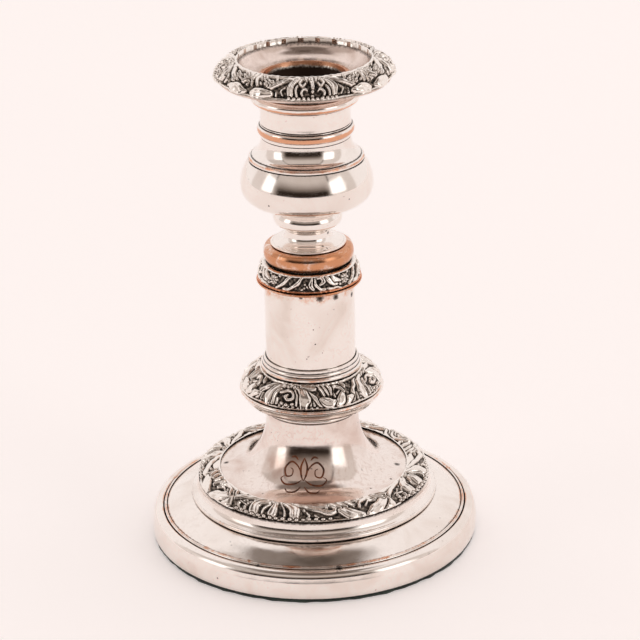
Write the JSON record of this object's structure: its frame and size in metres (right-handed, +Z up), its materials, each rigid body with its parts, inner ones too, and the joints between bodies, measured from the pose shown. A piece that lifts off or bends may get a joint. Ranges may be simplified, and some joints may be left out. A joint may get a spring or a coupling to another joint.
{
  "type": "telescopic candlestick",
  "caption": "Round-based silver-plated table candlestick with a trumpet pedestal, knop, sliding column draws, vase socket and lift-out nozzle.",
  "frame": {"origin": "middle of the underside of the baize, on the table", "axes": "+Z up along the axis of the stick, -Y towards the front"},
  "size_m": [0.1176, 0.1176, 0.178],
  "materials": {
    "silver_plate": "polished silver rolled on copper, lightly scratched, warm tone",
    "cast_silver": "stamped and solder-filled silver border, bright crests, black tarnish in the hollows",
    "worn_copper": "copper showing through worn silver, polished",
    "spring_brass": "plain rolled brass, dull",
    "green_baize": "felted wool baize, dark green, ragged at the edge",
    "board": "plain sawn board",
    "pitch": "cast resin and plaster loading, dark"
  },
  "bodies": {
    "base": {"baize_cover": "green_baize", "base_board": "board", "pitch_loading": "pitch", "base_rim": "silver_plate", "base_reed": "worn_copper", "base_plate": "silver_plate", "base_step": "silver_plate", "base_border": "cast_silver", "pedestal": "silver_plate", "pedestal_astragal": "silver_plate", "knop_pan": "silver_plate", "knop_rim": "worn_copper", "knop_border": "cast_silver", "column_base_ring": "silver_plate", "column_tube": "silver_plate", "column_end_cap": "worn_copper", "column_neck_ring": "worn_copper", "column_top_rim": "worn_copper", "column_top_border": "cast_silver"},
    "middle_draw": {"middle_tube": "silver_plate", "middle_spring_collar": "spring_brass", "middle_ring": "worn_copper"},
    "socket_draw": {"inner_tube": "silver_plate", "inner_spring_collar": "spring_brass", "socket_foot": "silver_plate", "socket_cup": "silver_plate", "socket_bowl": "silver_plate", "socket_shoulder": "silver_plate", "socket_bead": "silver_plate", "socket_neck": "silver_plate", "socket_rim": "silver_plate", "candle_cup": "silver_plate"},
    "nozzle": {"nozzle_sleeve": "silver_plate", "nozzle_pan": "silver_plate", "nozzle_border": "cast_silver"}
  },
  "joints": [
    {"name": "middle_draw_slide", "type": "slide", "parent": "base", "child": "middle_draw", "axis": [0, 0, 1], "range_m": [0, 0.052]},
    {"name": "socket_draw_slide", "type": "slide", "parent": "middle_draw", "child": "socket_draw", "axis": [0, 0, 1], "range_m": [0, 0.053]},
    {"name": "nozzle_lift", "type": "slide", "parent": "socket_draw", "child": "nozzle", "axis": [0, 0, 1], "range_m": [0, 0.025]}
  ]
}
